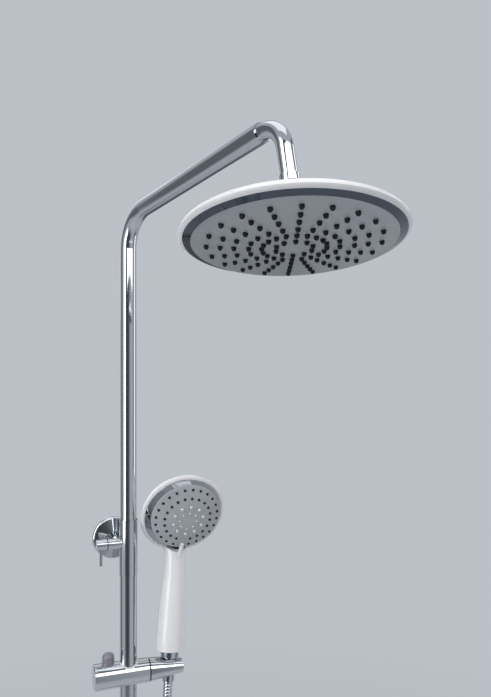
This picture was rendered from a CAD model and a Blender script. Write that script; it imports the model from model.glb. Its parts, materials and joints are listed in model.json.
import json
import math
from collections import Counter

import bmesh
import bpy
from mathutils import Vector
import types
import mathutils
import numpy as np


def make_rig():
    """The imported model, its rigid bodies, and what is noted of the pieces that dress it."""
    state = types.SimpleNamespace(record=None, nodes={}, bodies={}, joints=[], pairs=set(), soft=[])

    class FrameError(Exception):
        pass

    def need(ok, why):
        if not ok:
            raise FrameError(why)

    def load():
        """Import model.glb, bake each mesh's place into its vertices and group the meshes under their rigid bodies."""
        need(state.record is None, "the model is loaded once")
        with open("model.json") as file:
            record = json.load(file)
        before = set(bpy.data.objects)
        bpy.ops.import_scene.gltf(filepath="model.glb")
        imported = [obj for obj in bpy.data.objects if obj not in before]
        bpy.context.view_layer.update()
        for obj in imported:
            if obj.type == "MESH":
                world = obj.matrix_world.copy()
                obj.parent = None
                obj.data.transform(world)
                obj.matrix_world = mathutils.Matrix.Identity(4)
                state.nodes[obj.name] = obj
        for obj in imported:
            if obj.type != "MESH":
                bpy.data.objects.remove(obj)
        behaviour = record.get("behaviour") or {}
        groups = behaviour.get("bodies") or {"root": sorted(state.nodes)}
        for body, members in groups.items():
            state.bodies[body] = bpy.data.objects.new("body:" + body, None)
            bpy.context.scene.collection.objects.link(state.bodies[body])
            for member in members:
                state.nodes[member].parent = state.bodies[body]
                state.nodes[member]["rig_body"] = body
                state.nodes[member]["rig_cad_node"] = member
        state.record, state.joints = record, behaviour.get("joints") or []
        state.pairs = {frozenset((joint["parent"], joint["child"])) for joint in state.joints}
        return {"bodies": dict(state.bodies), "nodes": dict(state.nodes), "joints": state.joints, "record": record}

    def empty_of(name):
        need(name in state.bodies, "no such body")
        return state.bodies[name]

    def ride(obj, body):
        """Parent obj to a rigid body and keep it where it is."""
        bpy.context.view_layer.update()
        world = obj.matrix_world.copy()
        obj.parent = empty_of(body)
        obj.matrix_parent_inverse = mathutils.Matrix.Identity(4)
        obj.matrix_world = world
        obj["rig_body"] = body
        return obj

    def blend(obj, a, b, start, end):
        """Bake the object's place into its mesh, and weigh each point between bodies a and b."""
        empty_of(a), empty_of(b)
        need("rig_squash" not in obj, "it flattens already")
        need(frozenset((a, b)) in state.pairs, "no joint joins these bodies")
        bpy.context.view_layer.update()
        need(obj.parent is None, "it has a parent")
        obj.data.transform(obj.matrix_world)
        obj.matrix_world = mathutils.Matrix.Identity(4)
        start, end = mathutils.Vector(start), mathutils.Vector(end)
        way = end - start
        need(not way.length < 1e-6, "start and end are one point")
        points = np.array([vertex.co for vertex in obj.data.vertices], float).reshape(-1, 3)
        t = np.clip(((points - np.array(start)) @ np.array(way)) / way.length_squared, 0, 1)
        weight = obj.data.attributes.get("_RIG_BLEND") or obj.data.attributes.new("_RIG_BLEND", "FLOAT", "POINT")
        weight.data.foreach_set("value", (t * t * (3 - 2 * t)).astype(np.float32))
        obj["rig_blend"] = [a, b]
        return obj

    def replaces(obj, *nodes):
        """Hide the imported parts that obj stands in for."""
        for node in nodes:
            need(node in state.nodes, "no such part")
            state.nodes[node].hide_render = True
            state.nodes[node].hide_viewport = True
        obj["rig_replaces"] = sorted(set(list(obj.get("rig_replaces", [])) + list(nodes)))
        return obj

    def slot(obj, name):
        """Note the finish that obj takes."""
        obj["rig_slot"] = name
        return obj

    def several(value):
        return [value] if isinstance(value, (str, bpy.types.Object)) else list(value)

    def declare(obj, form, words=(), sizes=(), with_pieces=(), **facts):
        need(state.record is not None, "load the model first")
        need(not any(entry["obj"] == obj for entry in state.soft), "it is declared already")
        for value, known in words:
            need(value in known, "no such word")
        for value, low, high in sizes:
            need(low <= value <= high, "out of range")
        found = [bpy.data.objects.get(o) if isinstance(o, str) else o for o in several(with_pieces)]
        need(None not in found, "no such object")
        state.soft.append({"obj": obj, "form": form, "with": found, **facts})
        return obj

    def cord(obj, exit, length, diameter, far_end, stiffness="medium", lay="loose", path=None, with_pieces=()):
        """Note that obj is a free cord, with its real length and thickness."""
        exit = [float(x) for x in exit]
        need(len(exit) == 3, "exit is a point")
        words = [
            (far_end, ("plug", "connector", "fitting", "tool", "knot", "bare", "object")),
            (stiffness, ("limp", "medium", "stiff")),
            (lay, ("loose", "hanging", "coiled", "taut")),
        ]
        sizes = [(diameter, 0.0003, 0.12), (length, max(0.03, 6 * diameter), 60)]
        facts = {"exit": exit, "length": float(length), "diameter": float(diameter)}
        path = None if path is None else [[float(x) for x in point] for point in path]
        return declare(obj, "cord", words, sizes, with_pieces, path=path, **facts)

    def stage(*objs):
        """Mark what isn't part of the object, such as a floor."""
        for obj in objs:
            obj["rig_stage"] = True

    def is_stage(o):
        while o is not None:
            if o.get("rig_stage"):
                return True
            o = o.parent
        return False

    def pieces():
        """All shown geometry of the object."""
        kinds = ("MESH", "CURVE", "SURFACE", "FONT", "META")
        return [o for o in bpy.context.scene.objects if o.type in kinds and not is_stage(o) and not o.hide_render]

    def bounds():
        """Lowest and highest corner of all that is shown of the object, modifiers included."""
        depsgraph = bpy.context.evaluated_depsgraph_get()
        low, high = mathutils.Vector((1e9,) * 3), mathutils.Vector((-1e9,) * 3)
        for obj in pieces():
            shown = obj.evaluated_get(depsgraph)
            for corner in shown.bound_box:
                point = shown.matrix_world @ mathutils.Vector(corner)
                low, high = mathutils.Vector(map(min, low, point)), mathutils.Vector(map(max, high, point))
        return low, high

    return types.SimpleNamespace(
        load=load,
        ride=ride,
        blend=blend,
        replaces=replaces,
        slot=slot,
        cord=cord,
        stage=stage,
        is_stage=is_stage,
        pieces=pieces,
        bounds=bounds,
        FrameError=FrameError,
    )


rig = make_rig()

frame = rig.load()
cad_box = [[float(c) for c in corner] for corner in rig.bounds()]

# Materials

COAT_ROUGHNESS = 0.05


def finish(name, colour, metallic, roughness, coat=0.0):
    """A plain glossy, satin or metal surface."""
    material = bpy.data.materials.new(name)
    material.use_nodes = True
    shader = material.node_tree.nodes["Principled BSDF"]
    shader.inputs["Base Color"].default_value = (*colour, 1)
    shader.inputs["Metallic"].default_value = metallic
    shader.inputs["Roughness"].default_value = roughness
    shader.inputs["Coat Weight"].default_value = coat
    shader.inputs["Coat Roughness"].default_value = COAT_ROUGHNESS
    return material


FINISHES = {
    "chrome": finish("chrome", (0.60, 0.62, 0.65), 1.0, 0.06),
    "white": finish("white_plastic", (0.82, 0.82, 0.84), 0.0, 0.26, 0.3),
    "silver": finish("silver_face", (0.42, 0.445, 0.47), 0.2, 0.38),
    "nozzle": finish("nozzle_rubber", (0.008, 0.008, 0.010), 0.0, 0.8),
    "button": finish("button_plastic", (0.22, 0.21, 0.25), 0.0, 0.3, 0.3),
    "nylon": finish("nylon", (0.75, 0.75, 0.73), 0.0, 0.5),
    "rubber": finish("rubber", (0.03, 0.03, 0.03), 0.0, 0.6),
    "steel": finish("steel", (0.55, 0.55, 0.56), 1.0, 0.3),
    "brass": finish("brass", (0.70, 0.52, 0.25), 1.0, 0.25),
    "jet": finish("jet_metal", (0.80, 0.81, 0.83), 1.0, 0.10),
    "band": finish("dark_chrome", (0.10, 0.115, 0.14), 1.0, 0.08),
    "ring": finish("ring_chrome", (0.36, 0.38, 0.41), 1.0, 0.06),
}
# Nodes that don't look like the rest of their slot
SPECIAL = {"massage_jets": "jet", "overhead_trim": "band", "hand_trim": "ring"}

slot_of = {part["node"]: part["material_slot"] for part in frame["record"]["subparts"]}
for name, node in frame["nodes"].items():
    look = FINISHES[SPECIAL.get(name, slot_of[name])]
    for place in node.material_slots:
        place.material = look

# Ribbed hose, in lengths that follow the joints they meet

# Corners of the route in metres, from the hand shower down and round to the diverter
HOSE_ROUTE = [
    (0.06264, -0.04145, -0.17928),
    (0.05943, -0.04485, -0.21901),
    (0.05859, -0.05180, -0.28488),
    (0.05811, -0.05788, -0.37016),
    (0.05956, -0.06467, -0.48083),
    (0.06296, -0.07046, -0.59150),
    (0.07073, -0.07729, -0.74685),
    (0.08238, -0.08375, -0.91742),
    (0.09015, -0.08870, -1.05246),
    (0.09354, -0.09154, -1.13267),
    (0.09500, -0.09000, -1.21897),
    (0.06635, -0.09000, -1.25840),
    (0.02000, -0.09000, -1.27346),
    (-0.02635, -0.09000, -1.25840),
    (-0.05500, -0.09000, -1.21897),
    (-0.05345, -0.08750, -1.14369),
    (-0.04148, -0.06820, -1.06792),
    (-0.02400, -0.04000, -1.00692),
    (-0.02400, -0.04000, -0.96000),
]
# Each length: its last corner, and the bodies at its lower and upper end
HOSE_LENGTHS = {
    "hose_tip": (1, "holder", "hand_shower"),
    "hose_neck": (2, "slider", "holder"),
    "hose_turn": (3, "slider_bush", "slider"),
    "hose_leg": (6, "frame", "slider_bush"),
    "hose_loop": (len(HOSE_ROUTE) - 1, "frame", None),
}
HOSE_D = 0.012
HOSE_VALLEY_D = 0.0108
HOSE_SIDES = 24
# A direction that the hose never heads in
ACROSS = Vector((0, 1, 0))
RIB_PITCH = 0.0038
# Shares of the pitch along a rib, and of its height there
RIB_PROFILE = ((0.0, 0.0), (0.12, 0.6), (0.3, 0.95), (0.5, 1.0), (0.7, 0.95), (0.88, 0.6))
SPLINE_STEPS = 32
SPLINE_ORDER = 3


def spline_line(points):
    """The points of a smooth curve along a route, as Blender draws it."""
    curve = bpy.data.curves.new("route", "CURVE")
    curve.dimensions = "3D"
    curve.resolution_u = SPLINE_STEPS
    spline = curve.splines.new("NURBS")
    spline.points.add(len(points) - 1)
    for corner, place in zip(spline.points, points):
        corner.co = (*place, 1)
    spline.order_u = SPLINE_ORDER
    spline.use_endpoint_u = True
    holder = bpy.data.objects.new("route", curve)
    mesh = bpy.data.meshes.new_from_object(holder)
    line = [vertex.co.copy() for vertex in mesh.vertices]
    bpy.data.objects.remove(holder)
    bpy.data.curves.remove(curve)
    bpy.data.meshes.remove(mesh)
    return line


def walker(line):
    """The place and heading at a distance along a line, as a function, and its length."""
    reach = [0.0]
    for before, after in zip(line, line[1:]):
        reach.append(reach[-1] + (after - before).length)

    def at(distance):
        index = 0
        while index < len(line) - 2 and reach[index + 1] < distance:
            index += 1
        step = line[index + 1] - line[index]
        share = (distance - reach[index]) / step.length
        return line[index] + step * share, step.normalized()

    return at, reach[-1]


def ribbed_tube(name, line):
    """A tube with round ribs along a line, the middles of its rings and its length."""
    at, length = walker(line)
    ribs = max(1, round(length / RIB_PITCH))
    stations = []
    for rib in range(ribs):
        for share, height in RIB_PROFILE:
            stations.append(((rib + share) * length / ribs, height))
    stations.append((length, 0.0))
    vertices, faces, centres = [], [], []
    for distance, height in stations:
        centre, heading = at(distance)
        side = ACROSS.cross(heading).normalized()
        other = heading.cross(side)
        radius = (HOSE_VALLEY_D + (HOSE_D - HOSE_VALLEY_D) * height) / 2
        centres.append(tuple(centre))
        for index in range(HOSE_SIDES):
            angle = 2 * math.pi * index / HOSE_SIDES
            outward = side * math.cos(angle) + other * math.sin(angle)
            vertices.append(centre + outward * radius)
    for ring in range(len(stations) - 1):
        for index in range(HOSE_SIDES):
            a = ring * HOSE_SIDES + index
            b = ring * HOSE_SIDES + (index + 1) % HOSE_SIDES
            faces.append((a, b, b + HOSE_SIDES, a + HOSE_SIDES))
    last = (len(stations) - 1) * HOSE_SIDES
    faces.append(tuple(reversed(range(HOSE_SIDES))))
    faces.append(tuple(range(last, last + HOSE_SIDES)))
    mesh = bpy.data.meshes.new(name)
    mesh.from_pydata(vertices, [], faces)
    mesh.update()
    for polygon in mesh.polygons:
        polygon.use_smooth = len(polygon.vertices) == 4
    mesh.materials.append(FINISHES["chrome"])
    tube = bpy.data.objects.new(name, mesh)
    bpy.context.collection.objects.link(tube)
    return tube, centres, length


lead, first = [], 0
for node, (last, lower, upper) in HOSE_LENGTHS.items():
    corners = lead + HOSE_ROUTE[first : last + 1]
    if upper:
        joint = (Vector(HOSE_ROUTE[last]) + Vector(HOSE_ROUTE[last + 1])) / 2
        corners = corners + [tuple(joint)]
        lead, first = [tuple(joint)], last + 1
    line = spline_line(corners)
    tube, centres, length = ribbed_tube("ribbed_" + node, line)
    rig.replaces(tube, node)
    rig.slot(tube, "chrome")
    if upper:
        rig.blend(tube, lower, upper, start=corners[-1], end=corners[0])
    else:
        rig.ride(tube, lower)
    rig.cord(
        tube,
        exit=corners[0],
        length=length,
        diameter=HOSE_D,
        far_end="object",
        stiffness="medium",
        lay="hanging",
        path=centres,
    )

# Brake spring, squeezed between the slider and the shoe that the button draws back

SPRING_ON_SLIDER = (-0.02690, -0.040, -0.1624)
SPRING_ON_SHOE = (-0.01995, -0.040, -0.1624)

coil_mesh = frame["nodes"]["brake_spring"].data.copy()
spring_coil = bpy.data.objects.new("spring_coil", coil_mesh)
bpy.context.collection.objects.link(spring_coil)
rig.replaces(spring_coil, "brake_spring")
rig.slot(spring_coil, slot_of["brake_spring"])
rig.blend(
    spring_coil,
    "slider",
    "brake_shoe",
    start=SPRING_ON_SLIDER,
    end=SPRING_ON_SHOE,
)

# Rounded rubber nozzles and rounded centre jets

# Cosine above which a face counts as square to its rod
SQUARE_ON = 0.99999
BALL_SIDES = 24
# Height, as a share of the radius, below which a ball is drawn out into a stem
STEM_FROM = -0.4
NOZZLE_INSET = 0.001
NOZZLE_STEM = 0.0021
# Height of a jet's dome as a share of its radius
JET_RISE = 0.6


def main_direction(mesh):
    """The direction that most of a mesh's faces look in."""
    counts = Counter(polygon.normal.to_tuple(3) for polygon in mesh.polygons)
    return Vector(counts.most_common(1)[0][0]).normalized()


def flat_ends(mesh, axis):
    """Middle and radius of every flat end that looks along an axis."""
    end_of = {}
    for polygon in mesh.polygons:
        if polygon.normal.dot(axis) > SQUARE_ON:
            end = {mesh.vertices[index].co.to_tuple(6) for index in polygon.vertices}
            end = end.union(*(end_of[corner] for corner in end if corner in end_of))
            end_of.update(dict.fromkeys(end, end))
    for end in {id(end): end for end in end_of.values()}.values():
        corners = [Vector(corner) for corner in end]
        middle = sum(corners, Vector()) / len(corners)
        yield middle, max((corner - middle).length for corner in corners)


def balls_on(name, node, body, inset=0.0, rise=1.0, stem=0.0):
    """A ball, flattened or with a stem if asked, at every flat end of a node's rods."""
    unit = bmesh.new()
    bmesh.ops.create_uvsphere(
        unit, u_segments=BALL_SIDES, v_segments=BALL_SIDES // 2, radius=1
    )
    corners = [vertex.co * Vector((1, 1, rise)) for vertex in unit.verts]
    sides = [[vertex.index for vertex in face.verts] for face in unit.faces]
    unit.free()
    cad_mesh = frame["nodes"][node].data
    axis = main_direction(cad_mesh)
    turn = axis.to_track_quat("Z", "Y")
    vertices, faces = [], []
    for middle, radius in flat_ends(cad_mesh, axis):
        first = len(vertices)
        for corner in corners:
            depth = inset + (stem if corner.z < STEM_FROM else 0)
            vertices.append(middle - depth * axis + turn @ (corner * radius))
        faces += [[first + index for index in side] for side in sides]
    mesh = bpy.data.meshes.new(name)
    mesh.from_pydata(vertices, [], faces)
    mesh.update()
    mesh.shade_smooth()
    mesh.materials.append(FINISHES[SPECIAL.get(node, slot_of[node])])
    piece = bpy.data.objects.new(name, mesh)
    bpy.context.collection.objects.link(piece)
    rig.ride(piece, body)
    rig.slot(piece, slot_of[node])
    return piece


balls_on("jet_domes", "massage_jets", "selector", rise=JET_RISE)
nozzle_tips = balls_on(
    "nozzle_tips", "overhead_nozzles", "overhead", inset=NOZZLE_INSET, stem=NOZZLE_STEM
)
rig.replaces(nozzle_tips, "overhead_nozzles")

# Dark ring over the joint between the clamp knob and its boss

CLAMP_JOINT = (-0.01385, -0.04, 0)
CLAMP_RING_RADIUS = 0.0070
CLAMP_RING_SECTION = 0.00045

bpy.ops.mesh.primitive_torus_add(
    location=CLAMP_JOINT,
    rotation=(0, math.radians(90), 0),
    major_radius=CLAMP_RING_RADIUS,
    minor_radius=CLAMP_RING_SECTION,
)
clamp_ring = bpy.context.object
clamp_ring.name = "clamp_ring"
clamp_ring.data.shade_smooth()
clamp_ring.data.materials.append(FINISHES["rubber"])
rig.ride(clamp_ring, "frame")
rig.slot(clamp_ring, "rubber")

# Floor

FLOOR_LEVEL = -1.3
FLOOR_SIZE = 12.0
FLOOR_COLOUR = (0.72, 0.75, 0.79)
FLOOR_ROUGHNESS = 0.9
FLOOR_GLOW = 0.6
# Distances at which the floor starts to fade and is gone
NEAR_FLOOR = 1.6
FAR_FLOOR = 3.6
PALE = (0.50, 0.53, 0.57, 1)


def background_rays(tree):
    """1 for the rays that see the background: straight, mirrored or through glass."""
    ray = tree.nodes.new("ShaderNodeLightPath")
    seen = ray.outputs["Is Camera Ray"]
    for kind in ("Is Glossy Ray", "Is Transmission Ray"):
        either = tree.nodes.new("ShaderNodeMath")
        either.operation = "MAXIMUM"
        tree.links.new(seen, either.inputs[0])
        tree.links.new(ray.outputs[kind], either.inputs[1])
        seen = either.outputs["Value"]
    return seen


def pale_floor():
    """A floor that keeps the shadows near the object and fades out far off."""
    material = finish("pale_floor", FLOOR_COLOUR, 0.0, FLOOR_ROUGHNESS)
    tree = material.node_tree
    place = tree.nodes.new("ShaderNodeNewGeometry")
    reach = tree.nodes.new("ShaderNodeVectorMath")
    reach.operation = "LENGTH"
    fade = tree.nodes.new("ShaderNodeMapRange")
    fade.interpolation_type = "SMOOTHSTEP"
    fade.inputs["From Min"].default_value = NEAR_FLOOR
    fade.inputs["From Max"].default_value = FAR_FLOOR
    clear = tree.nodes.new("ShaderNodeBsdfTransparent")
    mix = tree.nodes.new("ShaderNodeMixShader")
    glow = tree.nodes.new("ShaderNodeEmission")
    glow.inputs["Color"].default_value = PALE
    share = tree.nodes.new("ShaderNodeMath")
    share.operation = "MULTIPLY"
    share.inputs[1].default_value = FLOOR_GLOW
    paper = tree.nodes.new("ShaderNodeMixShader")
    tree.links.new(background_rays(tree), share.inputs[0])
    tree.links.new(share.outputs["Value"], paper.inputs["Fac"])
    tree.links.new(tree.nodes["Principled BSDF"].outputs["BSDF"], paper.inputs[1])
    tree.links.new(glow.outputs["Emission"], paper.inputs[2])
    tree.links.new(place.outputs["Position"], reach.inputs[0])
    tree.links.new(reach.outputs["Value"], fade.inputs["Value"])
    tree.links.new(fade.outputs["Result"], mix.inputs["Fac"])
    tree.links.new(paper.outputs["Shader"], mix.inputs[1])
    tree.links.new(clear.outputs["BSDF"], mix.inputs[2])
    tree.links.new(mix.outputs["Shader"], tree.nodes["Material Output"].inputs["Surface"])
    return material


bpy.ops.mesh.primitive_plane_add(size=FLOOR_SIZE, location=(0, 0, FLOOR_LEVEL))
floor = bpy.context.object
floor.name = "floor"
floor.data.materials.append(pale_floor())
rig.stage(floor)

# Dark panels that only reflections show: bearing and width in degrees, and how dark
FLAGS = {
    "flag_front": (-112, 86, 0.90),
    "flag_side": (-14, 46, 0.75),
    "flag_back": (156, 48, 0.72),
    "flag_far": (70, 60, 0.80),
}
FLAG_DISTANCE = 2.8
FLAG_HEIGHT = 6.0
FLAG_COLOUR = (0.02, 0.022, 0.025, 1)
# Shares of a panel's width: its middle, and how far in from an edge it is fully dark
FLAG_MIDDLE = 0.5
FLAG_FADE = 0.4


def dark_panel(name, depth):
    """Black towards its middle and clear at its edges, and only in reflections."""
    material = bpy.data.materials.new(name)
    material.use_nodes = True
    tree = material.node_tree
    where = tree.nodes.new("ShaderNodeTexCoord")
    split = tree.nodes.new("ShaderNodeSeparateXYZ")
    side = tree.nodes.new("ShaderNodeMath")
    side.operation = "PINGPONG"
    side.inputs[1].default_value = FLAG_MIDDLE
    fade = tree.nodes.new("ShaderNodeMapRange")
    fade.interpolation_type = "SMOOTHSTEP"
    fade.inputs["From Max"].default_value = FLAG_FADE
    fade.inputs["To Max"].default_value = depth
    ray = tree.nodes.new("ShaderNodeLightPath")
    share = tree.nodes.new("ShaderNodeMath")
    share.operation = "MULTIPLY"
    clear = tree.nodes.new("ShaderNodeBsdfTransparent")
    dark = tree.nodes.new("ShaderNodeEmission")
    dark.inputs["Color"].default_value = FLAG_COLOUR
    mix = tree.nodes.new("ShaderNodeMixShader")
    tree.links.new(where.outputs["Generated"], split.inputs["Vector"])
    tree.links.new(split.outputs["X"], side.inputs[0])
    tree.links.new(side.outputs["Value"], fade.inputs["Value"])
    tree.links.new(fade.outputs["Result"], share.inputs[0])
    tree.links.new(ray.outputs["Is Glossy Ray"], share.inputs[1])
    tree.links.new(share.outputs["Value"], mix.inputs["Fac"])
    tree.links.new(clear.outputs["BSDF"], mix.inputs[1])
    tree.links.new(dark.outputs["Emission"], mix.inputs[2])
    tree.links.new(mix.outputs["Shader"], tree.nodes["Material Output"].inputs["Surface"])
    return material


for name, (bearing, width, depth) in FLAGS.items():
    angle = math.radians(bearing)
    bpy.ops.mesh.primitive_plane_add(
        size=1,
        location=(FLAG_DISTANCE * math.cos(angle), FLAG_DISTANCE * math.sin(angle), 0),
        rotation=(math.radians(90), 0, angle + math.radians(90)),
    )
    flag = bpy.context.object
    flag.name = name
    flag.scale = (2 * FLAG_DISTANCE * math.tan(math.radians(width / 2)), FLAG_HEIGHT, 1)
    flag.data.materials.append(dark_panel(name, depth))
    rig.stage(flag)

# Lamps, all aimed at one point: place, size across and up, and power in watts
LAMP_AIM = Vector((0.08, -0.15, 0.1))
LAMPS = {
    "front": ((0.3, -1.4, 0.98), (2.4, 0.8), 14),
    "key": ((-1.6, -0.95, 0.6), (0.8, 2.2), 24),
    "side": ((1.9, -0.2, 0.5), (0.5, 2.0), 5),
    "top": ((0.1, -0.1, 2.2), (1.8, 1.8), 8),
    "back": ((0.3, 2.0, 1.2), (1.8, 1.4), 5),
}
for name, (place, size, power) in LAMPS.items():
    light = bpy.data.lights.new(name, "AREA")
    light.shape = "RECTANGLE"
    light.size, light.size_y = size
    light.energy = power
    lamp = bpy.data.objects.new(name, light)
    lamp.location = place
    lamp.rotation_euler = (LAMP_AIM - Vector(place)).to_track_quat("-Z", "Y").to_euler()
    bpy.context.collection.objects.link(lamp)

# Brightness of the room that lights matt surfaces, by the share of a full turn
ROOM = {
    0.00: 0.55,
    0.06: 0.30,
    0.14: 0.10,
    0.24: 0.08,
    0.32: 0.35,
    0.38: 0.60,
    0.46: 0.18,
    0.54: 0.75,
    0.62: 0.95,
    0.78: 0.95,
    0.86: 0.70,
    0.93: 0.20,
    1.00: 0.55,
}
ROOM_TINT = (1.0, 1.02, 1.05)
ROOM_LIGHT = 0.7
world = bpy.data.worlds.new("studio")
world.use_nodes = True
nodes, links = world.node_tree.nodes, world.node_tree.links
where = nodes.new("ShaderNodeTexCoord")
turn = nodes.new("ShaderNodeTexGradient")
turn.gradient_type = "RADIAL"
ramp = nodes.new("ShaderNodeValToRGB")
stops = ramp.color_ramp.elements
while len(stops) < len(ROOM):
    stops.new(0.5)
for stop, (share, level) in zip(stops, ROOM.items()):
    stop.position = share
    stop.color = (*(level * tint for tint in ROOM_TINT), 1)
room = nodes["Background"]
room.inputs["Strength"].default_value = ROOM_LIGHT
paper = nodes.new("ShaderNodeBackground")
paper.inputs["Color"].default_value = PALE
both = nodes.new("ShaderNodeMixShader")
links.new(where.outputs["Generated"], turn.inputs["Vector"])
links.new(turn.outputs["Fac"], ramp.inputs["Fac"])
links.new(ramp.outputs["Color"], room.inputs["Color"])
links.new(background_rays(world.node_tree), both.inputs["Fac"])
links.new(room.outputs["Background"], both.inputs[1])
links.new(paper.outputs["Background"], both.inputs[2])
links.new(both.outputs["Shader"], nodes["World Output"].inputs["Surface"])
bpy.context.scene.world = world

# Level camera, with its frame shifted up

FOCAL_PIXELS = 630
FRAME_HEIGHT = 697
HORIZON_BELOW_CENTRE = 51.5
SENSOR = 36
CLIP_START = 0.01
CAMERA_PLACE = (-0.1334, -0.8277, 0.1785)
CAMERA_TURN = -21
lens = bpy.data.cameras.new("camera")
lens.sensor_width = SENSOR
lens.lens = FOCAL_PIXELS * SENSOR / FRAME_HEIGHT
lens.shift_y = HORIZON_BELOW_CENTRE / FRAME_HEIGHT
lens.clip_start = CLIP_START
camera = bpy.data.objects.new("camera", lens)
camera.location = CAMERA_PLACE
camera.rotation_euler = (math.radians(90), 0, math.radians(CAMERA_TURN))
bpy.context.collection.objects.link(camera)
bpy.context.scene.camera = camera
bpy.context.scene.view_settings.view_transform = "Standard"

with open("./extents.json", "w") as record:
    visual_box = [[float(c) for c in corner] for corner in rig.bounds()]
    json.dump({"cad": cad_box, "visual": visual_box}, record)
